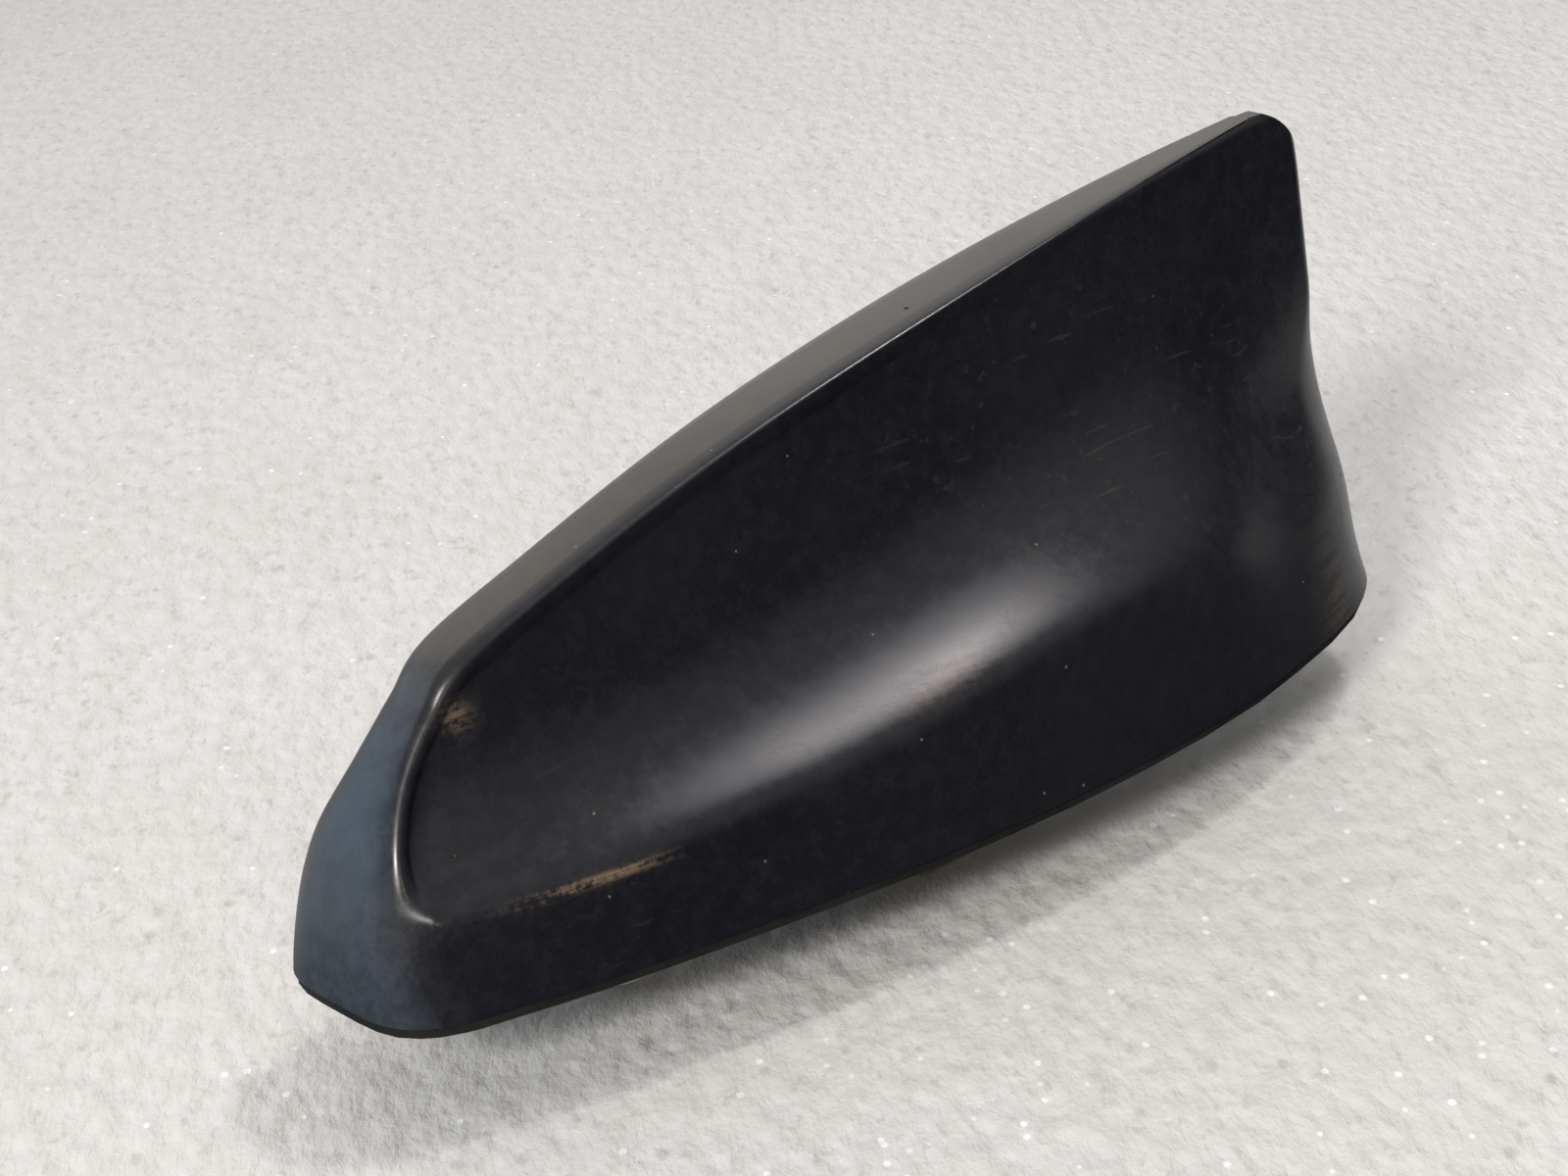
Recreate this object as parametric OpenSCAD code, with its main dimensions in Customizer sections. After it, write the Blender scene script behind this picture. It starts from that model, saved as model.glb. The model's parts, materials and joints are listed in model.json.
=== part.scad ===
// Shark fin aerial for a car roof.
// The nose points to -X, the tail to +X, +Z is up.
// The origin is on the fixing bolt's axis, in the plane of the roof skin.
// Lengths along the fin are counted from its nose tip, and rise_z from the cover's rim.

/* [Cover outline] */
// Distance from the nose tip to the bolt's axis
nose_to_bolt = 78; // [60:1:100]
// Height of the cover over its rim
cover_h = 60; // [45:1:75]
// Heights at which the front of the fin is given, as shares of the cover's height
nose_z = [0, 0.1, 0.2, 0.3, 0.4, 0.483, 0.55, 0.633, 0.8, 1]; // [0:0.01:1]
// Distance of the fin's front line from the nose tip at those heights
nose_x = [0, 0.5, 1.9, 4.3, 8.4, 12.9, 17, 30.5, 65.6, 135]; // [0:0.5:160]
// Heights at which the rear of the fin is given, as shares of the cover's height
tail_z = [0, 0.133, 0.267, 0.467, 0.7, 1]; // [0:0.01:1]
// Distance of the trailing edge from the nose tip at those heights
tail_x = [156.6, 154.6, 154.2, 153.3, 152, 150.2]; // [100:0.5:190]
// Distances at which the plan's half width is given
plan_x = [0, 8, 20, 40, 65, 90, 115, 135, 158]; // [0:1:190]
// Half width of the cover's rim at those distances
plan_w = [13.8, 14.7, 17.5, 21.3, 24.8, 25.9, 24, 19.7, 18.4]; // [5:0.5:50]
// How far the base wall leans in for each mm of height
base_lean = 0.1; // [0:0.01:0.4]
// Rounding radius of the tail in plan, at the rim
tail_round = 28; // [5:1:40]
// Height over which the tail goes from that rounding to a thin edge
tail_fade = 38; // [20:1:45]

/* [Ribbon and recess] */
// Heights at which the ribbon over the spine is given, as shares of the cover's height
ribbon_z = [0, 0.167, 0.267, 0.4, 0.6, 0.867, 1]; // [0:0.01:1]
// Half width of the ribbon at those heights
ribbon_w = [14, 10.2, 8.1, 4.9, 4.2, 4.6, 3.7]; // [1:0.1:20]
// Heights at which the ribbon's bow is given, as shares of the cover's height
bow_z = [0, 0.167, 0.367, 1]; // [0:0.01:1]
// How far the ribbon bows out in front of its own edge at those heights
bow_d = [6.6, 3.1, 1.3, 0.7]; // [0.3:0.1:12]
// How square the nose is in plan at the rim, 2 being a plain arc
nose_square = 4.4; // [2:0.1:8]
// Height over which the nose goes from that to a plain arc
square_fade = 24; // [10:1:40]
// Length of the rounding on the ribbon's edge
edge_round = 1.4; // [0.4:0.1:3]
// Depth of the side recess behind the ribbon
recess_d = 1.4; // [0:0.1:4]
// Distances at which the shoulder's height is given
shoulder_x = [0, 50, 100, 130, 158]; // [0:1:190]
// Height of the shoulder at those distances
shoulder_z = [9.8, 13.8, 19.7, 17, 2]; // [1:0.1:40]
// Distances at which the flare over the shoulder is given
flare_x = [0, 100, 130, 158]; // [0:1:190]
// Height over which the side flares out to the shoulder at those distances
flare_h = [19.5, 19.5, 26, 38]; // [6:0.5:45]
// How hollow that flare is at those distances, 1 being straight
flare_n = [2.4, 2.4, 1.9, 1.5]; // [1:0.1:4]
// How softly the shoulder is rounded at those distances
shoulder_soft = [0.7, 0.9, 5, 9]; // [0.5:0.1:12]
// Growth of the fin's half thickness for each mm below the ribbon
fin_draft = 0.22; // [0:0.01:0.3]
// Half thickness of the trailing edge
edge_t = 2.4; // [1:0.1:4]
// Radius of the fin's tip, seen from the side
tip_r = 9; // [2:0.5:14]

/* [Shell and seals] */
// Wall of the cover
wall = 2; // [1.2:0.1:3]
// Height of the solid tip over the hollow inside the fin
tip_solid = 15; // [8:1:25]
// Thickness of the rubber under the rim
gasket_t = 1.2; // [0.6:0.1:3]
// Width of the rim gasket's flat ring
gasket_w = 6; // [5:0.5:14]
// Thickness of the base plate
plate_t = 2.6; // [1.5:0.1:5]

/* [Foot and fixing] */
// Length of the foot that passes through the roof
foot_l = 46; // [30:1:60]
// Width of that foot
foot_w = 19; // [14:1:30]
// Depth of the foot below the roof
foot_h = 7; // [4:0.5:15]
// Nominal diameter of the fixing bolt
bolt_d = 6; // [4:0.5:10]
// Outer width of a socket housing
socket_w = 9.6; // [7:0.1:14]
// Bore of a socket housing
socket_bore = 7.2; // [5:0.1:10]
// Depth of a socket's bore in the foot
socket_l = 8; // [5:0.5:9]
// Distance of the locating peg ahead of the bolt's axis
peg_x = 42; // [34:1:50]
// Diameter of the locating peg
peg_d = 8.4; // [5:0.1:12]
// Depth of the peg below the roof
peg_h = 11; // [6:0.5:14]

/* [Electronics] */
// Length of the main board
board_l = 94; // [60:1:120]
// Width of the main board
board_w = 29; // [20:1:50]
// Thickness of the main board
board_t = 1.6; // [0.8:0.1:2.4]
// Height of the main board's underside over the roof
board_z = 10; // [7:0.5:16]
// Side of the satellite patch aerial
patch_w = 25; // [12:0.5:30]
// Height of the patch aerial
patch_h = 4; // [2:0.5:6]
// Thickness of the upright board in the fin
fin_board_t = 1.2; // [0.8:0.1:2]

/* [Hidden] */
rim_z = gasket_t;
hollow_top = cover_h - tip_solid;
levels = 34;
ribbon_steps = 6;
side_steps = 20;
inner_levels = 14;
patch_x = -22.7;
socket_x = foot_l / 2 - socket_w / 2 - 3.2;
post_x = socket_x + 23;
tab_at = [socket_x - 5, socket_x + 19];
// Board posts and cover bosses, in the part's frame
post_at = [[-43, 11], [-43, -11], [post_x, 11], [post_x, -11]];
boss_at = [[9.6 - nose_to_bolt, 0], [-14, 17.2], [-14, -17.2], [50, 13], [50, -13],
    [144 - nose_to_bolt, 0]];
guide_at = [16, 40];
guide_z = hollow_top - 12;
boss_r = 3.2;
post_r = 3;
plate_top = rim_z + plate_t;
claw_t = 1.2;

// Cubic through stations, with parabolic tangents
function slope_of(xs, ys, i) = (ys[i + 1] - ys[i]) / (xs[i + 1] - xs[i]);
function tangent(xs, ys, i) = let (n = len(xs) - 1)
    i > 0 && i < n
    ? (slope_of(xs, ys, i - 1) * (xs[i + 1] - xs[i]) + slope_of(xs, ys, i) * (xs[i] - xs[i - 1]))
        / (xs[i + 1] - xs[i - 1])
    : i == 0
    ? (n < 2 ? slope_of(xs, ys, 0) : 2 * slope_of(xs, ys, 0) - tangent(xs, ys, 1))
    : (n < 2 ? slope_of(xs, ys, n - 1) : 2 * slope_of(xs, ys, n - 1) - tangent(xs, ys, n - 1));
function span_at(xs, x, i = 0) = i >= len(xs) - 2 || x < xs[i + 1] ? i : span_at(xs, x, i + 1);
function curve(xs, ys, x) = let (
        i = span_at(xs, x),
        h = xs[i + 1] - xs[i],
        t = (x - xs[i]) / h,
        c = min(max(t, 0), 1),
        m0 = tangent(xs, ys, i),
        m1 = tangent(xs, ys, i + 1))
    (1 + 2 * c) * (1 - c) ^ 2 * ys[i] + c * (1 - c) ^ 2 * h * m0
    + c ^ 2 * (3 - 2 * c) * ys[i + 1] + c ^ 2 * (c - 1) * h * m1
    + min(t, 0) * h * m0 + max(t - 1, 0) * h * m1;

// Lines that bound the fin at a height over the rim
function nose_at(z) = curve(nose_z, nose_x, z / cover_h);
function tail_at(z) = curve(tail_z, tail_x, z / cover_h);
function bow_at(z) = max(curve(bow_z, bow_d, z / cover_h), bow_d[3]);
function ribbon_at(z) = curve(ribbon_z, ribbon_w, z / cover_h);
function square_at(z) = 2 + (nose_square - 2) * max(1 - z / square_fade, 0);
function shoulder_at(x) = curve(shoulder_x, shoulder_z, x);
function plan_at(x) = curve(plan_x, plan_w, x);
crease_table = [for (i = [0 : 120])
    let (z = cover_h * (bow_z[1] + (1 - bow_z[1]) * i / 120)) [nose_at(z) + bow_at(z), z]];
function crease_at(x) = x > crease_table[120][0]
    ? cover_h + (x - crease_table[120][0]) * 0.2
    : lookup(x, crease_table);
function soft(u, d) = (u + sqrt(u * u + 4 * d * d)) / 2;

// Half width of the body at a distance x and height z, before the tail is rounded
function side_at(x, z) = let (
        zk = crease_at(x),
        wk = ribbon_at(min(zk, cover_h)),
        zs = shoulder_at(x),
        drop = max(zk - z, 0),
        core = wk + fin_draft * drop - recess_d * (1 - exp(-drop / 2)) * min(1, drop / 3),
        out = plan_at(x) - base_lean * z,
        d = max(curve(flare_x, shoulder_soft, x), shoulder_soft[0]),
        rise = max(soft(z - zs, d) - soft(-zs, d), 0),
        tau = min(rise / min(curve(flare_x, flare_h, x), max(zk - zs, 2)), 1))
    core + max(out - core, 0) * (1 - tau) ^ curve(flare_x, flare_n, x);

// The tail's plan rounding, sharp high up and full at the rim
function tail_thick(z) = edge_t + tail_fade * (1 - min(z / tail_fade * 1.2, 1)) ^ 2;
function tail_radius(z) = 2 + (tail_round - 2) * (1 - min(z / tail_fade, 1) ^ 2) ^ 2;
function capped(x, z, y) = let (
        d = tail_at(z) - x,
        u = min(max(d / tail_radius(z), 0), 1),
        v = min(max(d / min(45, tail_at(z) - nose_at(z)), 0), 1),
        k = tail_thick(z),
        t = y * k / (y ^ 6 + k ^ 6) ^ (1 / 6))
    t * sqrt(max(1 - (1 - u) ^ 2, 0)) + (y - t) * sin(90 * v);

// Half section at a height, from the middle of the nose to the middle of the tail
function tip_u(z) = min(max((z - (cover_h - tip_r)) / tip_r, 0), 0.985);
function tip_close(z) = sqrt(1 - tip_u(z) ^ 2);
function half_section(z) = let (
        k = tip_close(z),
        xf = nose_at(z) + tip_r * 0.9 * (1 - k),
        xr = tail_at(z) - tip_r * 0.7 * (1 - k),
        yk = ribbon_at(z) * (0.35 + 0.65 * k),
        xk = xf + bow_at(z) * k,
        r = min(edge_round, yk * 0.4, (xr - xk) * 0.2),
        lead = yk - side_at(xk, z),
        a = [for (i = [0 : ribbon_steps]) let (y = (yk - r) * sin(90 * i / ribbon_steps))
            [xf + (xk - xf) * (y / yk) ^ square_at(z), y]],
        c = [xk, yk],
        e0 = a[ribbon_steps],
        e1 = [xk + r, capped(xk + r, z, side_at(xk + r, z) + lead * exp(-r / 4)) * (0.35 + 0.65 * k)],
        b = [for (i = [1 : side_steps]) let (
                t = (1 - cos(180 * i / side_steps)) / 2,
                x = xk + r + (xr - xk - r) * t,
                y = side_at(x, z) + lead * exp(-(x - xk) / 4))
            [x, capped(x, z, y) * (0.35 + 0.65 * k)]])
    concat(a, [(e0 + 2 * c + e1) / 4], [e1], b);
function full_ring(h) = let (n = len(h))
    concat([for (i = [0 : n - 1]) [h[i][0], -h[i][1]]], [for (i = [n - 2 : -1 : 1]) h[i]]);

// Closed shell between two stacks of rings with equal counts, lowest ring first
module shell(outer, inner) {
    n = len(outer[0]);
    m = len(outer);
    q = len(inner);
    o = m * n;
    points = [for (r = concat(outer, inner)) for (p = r) p];
    faces = concat(
        [for (i = [0 : n - 1]) let (j = (i + 1) % n) [i, j, o + j, o + i]],
        [for (k = [0 : m - 2]) for (i = [0 : n - 1]) let (j = (i + 1) % n)
            [k * n + i, (k + 1) * n + i, (k + 1) * n + j]],
        [for (k = [0 : m - 2]) for (i = [0 : n - 1]) let (j = (i + 1) % n)
            [k * n + i, (k + 1) * n + j, k * n + j]],
        [[for (i = [n - 1 : -1 : 0]) (m - 1) * n + i]],
        [for (k = [0 : q - 2]) for (i = [0 : n - 1]) let (j = (i + 1) % n)
            [o + (k + 1) * n + j, o + (k + 1) * n + i, o + k * n + i]],
        [for (k = [0 : q - 2]) for (i = [0 : n - 1]) let (j = (i + 1) % n)
            [o + k * n + j, o + (k + 1) * n + j, o + k * n + i]],
        [[for (i = [0 : n - 1]) o + (q - 1) * n + i]]);
    polyhedron(points = points, faces = faces, convexity = 10);
}
function placed(h, z) = [for (p = full_ring(h)) [p[0] - nose_to_bolt, p[1], rim_z + z]];

// Levels lie closer together where the shoulder and the tip turn
function level_z(i) = let (t = i / levels) cover_h * (t + 0.05 * sin(360 * t));
outer_rings = [for (i = [0 : levels]) placed(half_section(level_z(i)), level_z(i))];

// The hollow keeps the wall inside the outer form, level by level
inner_steps = ribbon_steps + 2 + side_steps;
function inner_half(z) = let (
        zo = z + wall,
        xa = nose_at(zo) + wall + 0.4,
        xb = tail_at(zo) - wall - 0.05 - 12 * min(z / 20, 1))
    [for (i = [0 : inner_steps]) let (
            t = (1 - cos(180 * i / inner_steps)) / 2,
            x = xa + (xb - xa) * t,
            front = ribbon_at(zo) * (max(x - xa, 0) / bow_at(zo)) ^ (1 / square_at(zo)),
            level = capped(x, zo, side_at(x, zo)) - wall,
            back = capped(x + wall, zo, side_at(x + wall, zo)))
        [x, i == 0 || i == inner_steps ? 0 : max(min(front, level, back), 0.6)]];
inner_rings = [for (i = [0 : inner_levels]) let (z = hollow_top * i / inner_levels)
    placed(inner_half(z), z)];

// Plan outline of the rim, moved in by a distance
module rim_shape(d) {
    offset(delta = -d) polygon([for (p = placed(half_section(0), 0)) [p[0], p[1]]]);
}

// Cover, moulded in one piece with its screw bosses and board guides
module screw_boss(p) {
    h = board_z - 0.4 - plate_top;
    translate([p[0], p[1], plate_top]) cylinder(h = h, r = boss_r, $fn = 24);
    if (p[1] != 0) {
        reach = side_boss_reach(p[0]) - abs(p[1]);
        translate([p[0] - 0.8, p[1] > 0 ? p[1] : p[1] - reach, plate_top + 2]) cube([1.6, reach, h - 2]);
    } else {
        reach = p[0] < 0
            ? p[0] + nose_to_bolt - nose_at(board_z) - wall * 0.5
            : tail_at(board_z) - wall - 2 - p[0] - nose_to_bolt;
        translate([p[0] < 0 ? p[0] - reach : p[0], -0.8, plate_top + 2]) cube([reach, 1.6, h - 2]);
    }
}
function side_boss_reach(x) = plan_at(x + nose_to_bolt) - base_lean * board_z - wall * 0.6;
module guide_rib(x, s) {
    reach = side_at(x + nose_to_bolt, guide_z + 8) - wall * 0.6;
    y0 = fin_board_t / 2 + 0.1;
    translate([x, s > 0 ? y0 : -reach, rim_z + guide_z]) cube([1.6, reach - y0, 6]);
}
module fin_cover() {
    color([0.07, 0.07, 0.08]) difference() {
        union() {
            shell(outer_rings, inner_rings);
            for (p = boss_at) screw_boss(p);
            for (x = guide_at) for (s = [-1, 1]) guide_rib(x, s);
        }
        for (p = boss_at) translate([p[0], p[1], plate_top - 1])
            cylinder(h = board_z - plate_top - 0.4, r = 1.1, $fn = 16);
    }
}

// Rubber ring that seals the rim to the roof, with a lip inside the cover's wall
module rim_gasket() {
    color([0.05, 0.05, 0.05]) {
        difference() {
            linear_extrude(height = rim_z) rim_shape(0.3);
            translate([0, 0, -1]) linear_extrude(height = rim_z + 2) rim_shape(gasket_w);
        }
        translate([0, 0, rim_z - 0.1]) difference() {
            linear_extrude(height = 1.7) rim_shape(wall + 2.1);
            translate([0, 0, -1]) linear_extrude(height = 4) rim_shape(wall + 2.9);
        }
    }
}

// Seal round the foot, between the base plate and the roof
module roof_seal() {
    color([0.12, 0.12, 0.13]) difference() {
        translate([-foot_l / 2 - 8, -foot_w / 2 - 4.5, 0]) cube([foot_l + 16, foot_w + 9, rim_z]);
        translate([-foot_l / 2 - 2.4, -foot_w / 2 - 2.4, -1]) cube([foot_l + 4.8, foot_w + 4.8, rim_z + 2]);
    }
}

// Die-cast base with its foot, board posts and screw holes
module base_plate() {
    color([0.62, 0.63, 0.65]) difference() {
        union() {
            translate([0, 0, rim_z]) linear_extrude(height = plate_t) rim_shape(wall + 3.2);
            translate([-foot_l / 2, -foot_w / 2, -foot_h]) cube([foot_l, foot_w, foot_h + rim_z + 1]);
            for (p = post_at) translate([p[0], p[1], rim_z + 1])
                cylinder(h = board_z - rim_z - 1, r = post_r, $fn = 24);
            cylinder(h = plate_top + 3, r = bolt_d / 2 + 2.5, $fn = 32);
            for (s = [-1, 1]) translate([-36, s * 9 - 0.9, plate_top - 0.5]) cube([70, 1.8, 2.5]);
        }
        translate([0, 0, -foot_h - 1]) cylinder(h = foot_h + plate_top + 1, r = bolt_d / 2, $fn = 32);
        for (p = post_at) translate([p[0], p[1], board_z - 5]) cylinder(h = 6, r = 1, $fn = 16);
        for (p = boss_at) translate([p[0], p[1], rim_z - 1]) {
            cylinder(h = plate_t + 2, r = 1.7, $fn = 24);
            cylinder(h = 2.2, r = 3, $fn = 24);
        }
        for (s = [-1, 1]) translate([s * socket_x, 0, -foot_h - 1]) {
            cylinder(h = foot_h + plate_top + 2, r = 3.5, $fn = 32);
            translate([-socket_w / 2, -socket_w / 2, 0]) cube([socket_w, socket_w, socket_l + 1.8]);
        }
        translate([-peg_x, 0, rim_z - 1]) cylinder(h = plate_t + 2, r = 2, $fn = 32);
        translate([-30, 0, rim_z - 1]) cylinder(h = plate_t + 2, r = 1.5, $fn = 24);
    }
}

// Plastic collar that snaps into the roof and holds the foot while the bolt is done up
module foot_collar() {
    gap = 0.15;
    t = 1.6;
    color([0.16, 0.16, 0.17]) {
        difference() {
            translate([-foot_l / 2 - t, -foot_w / 2 - t, -foot_h + 1.5])
                cube([foot_l + 2 * t, foot_w + 2 * t, foot_h - 1.5 + rim_z]);
            translate([-foot_l / 2, -foot_w / 2, -foot_h])
                cube([foot_l, foot_w, foot_h + rim_z + 1]);
        }
        for (s = [-1, 1]) translate([s * (foot_l / 2 + t - 0.2), 0, 0]) rotate([90, 0, 0])
            translate([0, 0, -4]) linear_extrude(height = 8)
                polygon([[0, -foot_h + 1.5], [s * 0.8, -foot_h + 1.5], [s * 2.6, -1.6],
                    [s * 2.6, -1], [0, -1]]);
    }
}

// Fixing bolt with a flanged hexagon head
module mounting_bolt() {
    color([0.72, 0.70, 0.62]) {
        translate([0, 0, -foot_h - claw_t - 1])
            cylinder(h = foot_h + claw_t + plate_top, r = bolt_d / 2 - 0.05, $fn = 32);
        translate([0, 0, -foot_h - claw_t - 0.8]) cylinder(h = 0.8, r = bolt_d * 0.95, $fn = 40);
        translate([0, 0, -foot_h - claw_t - 3]) cylinder(h = 2.4, r = bolt_d / 2 / cos(30) * 1.65, $fn = 6);
    }
}

// Spring steel claw that grips the underside of the roof
module clamp_claw() {
    wide = foot_w / 2 + 1.6 + 0.6;
    color([0.66, 0.60, 0.40]) difference() {
        union() {
            translate([-7.5, -wide - claw_t, -foot_h - claw_t]) cube([15, 2 * (wide + claw_t), claw_t]);
            for (s = [-1, 1]) for (x = [-7.5, 2.5])
                translate([x, s > 0 ? wide : -wide - claw_t, -foot_h - claw_t]) {
                    cube([5, claw_t, foot_h + claw_t - 2.6]);
                }
            for (s = [-1, 1]) for (x = [-7.5, 2.5])
                translate([x, 0, -3.6]) rotate([90, 0, 90]) linear_extrude(height = 5)
                    polygon([[s * wide, 0], [s * (wide + claw_t + 2.4), 1.2],
                        [s * (wide + claw_t + 2.4), 2.2], [s * wide, 1.4]]);
        }
        translate([0, 0, -foot_h - claw_t - 1]) cylinder(h = claw_t + 2, r = bolt_d / 2 + 0.3, $fn = 32);
    }
}

// Nylon peg that centres the nose in the roof's second hole
module locating_peg() {
    r = peg_d / 2;
    color([0.86, 0.86, 0.82]) translate([-peg_x, 0, 0]) rotate_extrude($fn = 48)
        polygon([[0, -peg_h], [r * 0.45, -peg_h + 0.15], [r * 0.8, -peg_h + 0.8], [r * 0.97, -peg_h + 2],
            [r, -peg_h + 3], [r, rim_z], [2, rim_z], [2, plate_top + 0.6], [0, plate_top + 0.6]]);
}

// Two coaxial sockets, let into the foot
module socket_housings() {
    color([0.10, 0.12, 0.42]) for (s = [-1, 1]) translate([s * socket_x, 0, -foot_h]) difference() {
        union() {
            translate([-socket_w / 2, -socket_w / 2, 0]) cube([socket_w, socket_w, socket_l + 0.8]);
            cylinder(h = foot_h + plate_top, r = 3.5, $fn = 32);
        }
        translate([0, 0, -1]) cylinder(h = socket_l + 1, r = socket_bore / 2, $fn = 40);
        translate([0, 0, 1]) cylinder(h = foot_h + plate_top + 6, r = 2.25, $fn = 32);
    }
}
module socket_shells() {
    color([0.80, 0.68, 0.36]) for (s = [-1, 1]) translate([s * socket_x, 0, 1.2 - foot_h])
        difference() {
            cylinder(h = board_z + foot_h - 1.2, r = 2.25, $fn = 32);
            translate([0, 0, -1]) cylinder(h = board_z + foot_h + 2, r = 1.75, $fn = 32);
        }
}
module socket_insulators() {
    color([0.92, 0.92, 0.90]) for (s = [-1, 1]) translate([s * socket_x, 0, socket_l - foot_h])
        difference() {
            cylinder(h = board_z + foot_h - socket_l, r = 1.75, $fn = 32);
            translate([0, 0, -1]) cylinder(h = board_z + foot_h + 2, r = 0.45, $fn = 20);
        }
}
module socket_pins() {
    color([0.86, 0.72, 0.32]) for (s = [-1, 1]) translate([s * socket_x, 0, 2.4 - foot_h])
        cylinder(h = board_z + foot_h - 2.4 + board_t, r = 0.45, $fn = 20);
}

// Main board with its holes
module main_board() {
    color([0.06, 0.30, 0.16]) difference() {
        translate([-board_l / 2 - 1, -board_w / 2, board_z]) cube([board_l, board_w, board_t]);
        for (p = post_at) translate([p[0], p[1], board_z - 1]) cylinder(h = board_t + 2, r = 1.3, $fn = 24);
        for (s = [-1, 1]) translate([s * socket_x, 0, board_z - 1])
            cylinder(h = board_t + 2, r = 0.45, $fn = 20);
        translate([-25, 0, board_z - 1]) cylinder(h = board_t + 2, r = 0.5, $fn = 20);
        for (x = tab_at) translate([x - 0.1, -fin_board_t / 2, board_z - 1])
            cube([4.2, fin_board_t, board_t + 2]);
    }
}
chip_x = patch_x + patch_w / 2 + 3.2;
chips = [[chip_x, -7, 5, 5, 1], [chip_x, 6, 3.2, 1.6, 0.8], [2, 11, 4, 4, 0.9], [6, -11, 3.2, 1.6, 0.8],
    [-1, -12.5, 1.6, 3.2, 0.8], [26, 7, 5, 4.4, 1.5], [39, -7, 3.2, 2.5, 1], [39, -3, 2, 1.2, 0.6],
    [32, 11, 2, 1.2, 0.6]];
module board_chips() {
    color([0.09, 0.09, 0.10]) for (c = chips)
        translate([c[0] - c[2] / 2, c[1] - c[3] / 2, board_z + board_t]) cube([c[2], c[3], c[4]]);
}

// Pressed can over the receiver circuit, on the board's underside
module shield_can() {
    t = 0.4;
    color([0.75, 0.76, 0.78]) translate([socket_x + 2.6, -12, board_z - 3.6]) difference() {
        cube([17, 24, 3.6]);
        translate([t, t, t]) cube([17 - 2 * t, 24 - 2 * t, 4]);
        for (x = [4, 9, 14]) for (y = [6, 12, 18]) translate([x, y, -1]) cylinder(h = 2, r = 0.8, $fn = 16);
    }
}

// Satellite patch, its electrode and its feed pin
module patch_aerial() {
    color([0.80, 0.76, 0.68]) difference() {
        translate([patch_x - patch_w / 2, -patch_w / 2, board_z + board_t]) cube([patch_w, patch_w, patch_h]);
        translate([-25, 0, board_z]) cylinder(h = board_t + patch_h + 2, r = 0.5, $fn = 20);
    }
}
module patch_electrode() {
    e = patch_w - 4;
    color([0.86, 0.86, 0.84]) difference() {
        translate([patch_x, 0, board_z + board_t + patch_h]) linear_extrude(height = 0.2)
            polygon([[-e / 2, -e / 2], [e / 2 - 2, -e / 2], [e / 2, -e / 2 + 2], [e / 2, e / 2],
                [-e / 2 + 2, e / 2], [-e / 2, e / 2 - 2]]);
        translate([-25, 0, board_z]) cylinder(h = board_t + patch_h + 2, r = 0.5, $fn = 20);
    }
}
module patch_pin() {
    color([0.82, 0.80, 0.72]) translate([-25, 0, board_z - 0.8]) {
        cylinder(h = board_t + patch_h + 1.2, r = 0.5, $fn = 20);
        translate([0, 0, board_t + patch_h + 1]) cylinder(h = 0.6, r = 1.1, $fn = 24);
    }
}

// Bent sheet element for the phone bands, standing across the nose
module phone_element() {
    t = 0.5;
    z0 = board_z + board_t;
    color([0.78, 0.79, 0.80]) {
        translate([-46.5, -7, z0]) cube([6, 14, t]);
        translate([-41, -7, z0]) cube([t, 14, 6]);
        translate([-41, -4, z0 + 5]) cube([t, 8, 4]);
    }
}

// Upright board in the fin, with two tabs in the main board
fin_board_h = rim_z + hollow_top - 3.6 - board_z - board_t;
fin_board_edge = [[2, 0], [2, fin_board_h * 0.32], [14, fin_board_h * 0.8], [28, fin_board_h],
    [56, fin_board_h], [60, fin_board_h * 0.32], [60, 0]];
module fin_board() {
    z0 = board_z + board_t;
    color([0.07, 0.33, 0.18]) {
        translate([0, fin_board_t / 2, z0]) rotate([90, 0, 0]) linear_extrude(height = fin_board_t)
            polygon(fin_board_edge);
        for (x = tab_at) translate([x, -fin_board_t / 2, z0 - board_t])
            cube([4, fin_board_t, board_t + 0.2]);
    }
}
module fin_clips() {
    t = 0.4;
    z0 = board_z + board_t;
    color([0.82, 0.82, 0.80]) for (x = [17, 43]) {
        translate([x, fin_board_t / 2, z0]) cube([4, t, 3.5]);
        translate([x, fin_board_t / 2, z0]) cube([4, 3, t]);
    }
}

// Loading coil wound on its core, on the main board
module coil_core() {
    z0 = board_z + board_t;
    color([0.20, 0.20, 0.21]) translate([17, -9, z0 + 3]) rotate([0, 90, 0]) {
        cylinder(h = 14, r = 1.8, $fn = 28);
        cylinder(h = 1.2, r = 3, $fn = 28);
        translate([0, 0, 12.8]) cylinder(h = 1.2, r = 3, $fn = 28);
    }
}
turns = 12;
pitch = 11.6 / turns;
module coil_winding() {
    z0 = board_z + board_t;
    color([0.72, 0.38, 0.16]) translate([17 + 1.2, -9, z0 + 3]) rotate([0, 90, 0])
        rotate_extrude($fn = 28) polygon(concat(
            [[1.8, 0]],
            [for (i = [0 : turns - 1]) each [[2.15, pitch * i], [2.55, pitch * (i + 0.5)]]],
            [[2.15, 11.6], [1.8, 11.6]]));
}

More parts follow.
